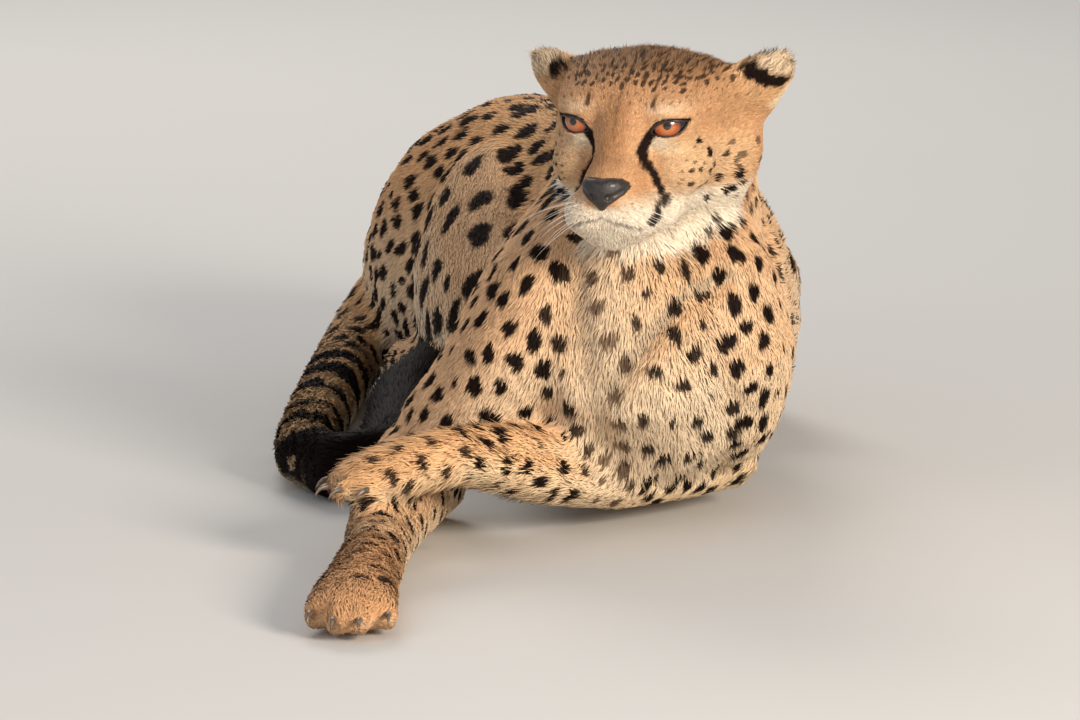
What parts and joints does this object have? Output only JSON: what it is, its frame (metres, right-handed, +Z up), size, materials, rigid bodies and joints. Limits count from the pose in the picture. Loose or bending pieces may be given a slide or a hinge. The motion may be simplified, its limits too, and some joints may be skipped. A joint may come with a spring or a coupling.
{
  "type": "lying cheetah",
  "caption": "Life-size still model of an adult cheetah lying on its chest, head up and turned aside, forepaws crossed, tail curled forward on the floor.",
  "frame": {"origin": "middle of the bottom of the whole animal's box, on the floor", "axes": "+Z up, chest and forepaws towards -Y, rump towards +Y, the animal's left towards +X"},
  "size_m": [0.3904, 1.0168, 0.3375],
  "materials": {
    "spotted_fur": "short dense tawny coat with round black spots",
    "pale_fur": "longer soft cream coat of the chest and belly",
    "dark_fur": "black fur of the tail's last rings and the backs of the ears",
    "eye": "moist clear cornea over an amber iris",
    "nose_leather": "fine-pebbled, slightly moist dark skin",
    "claw": "smooth horn, pale at the tip"
  },
  "bodies": {
    "root": {"eye_left": "eye", "eye_right": "eye", "nose": "nose_leather", "head": "spotted_fur", "ear_left": "dark_fur", "ear_right": "dark_fur", "neck": "spotted_fur", "breast": "pale_fur", "shoulder_left": "spotted_fur", "shoulder_right": "spotted_fur", "forearm_left": "spotted_fur", "forearm_right": "spotted_fur", "forepaw_left": "spotted_fur", "forepaw_right": "spotted_fur", "belly": "pale_fur", "rump": "spotted_fur", "thigh_right": "spotted_fur", "thigh_left": "spotted_fur", "shank_right": "spotted_fur", "shank_left": "spotted_fur", "hind_foot_right": "spotted_fur", "hind_foot_left": "spotted_fur", "tail_root": "spotted_fur", "tail_middle": "spotted_fur", "tail_bend": "dark_fur", "tail_tip": "dark_fur"}
  },
  "joints": []
}
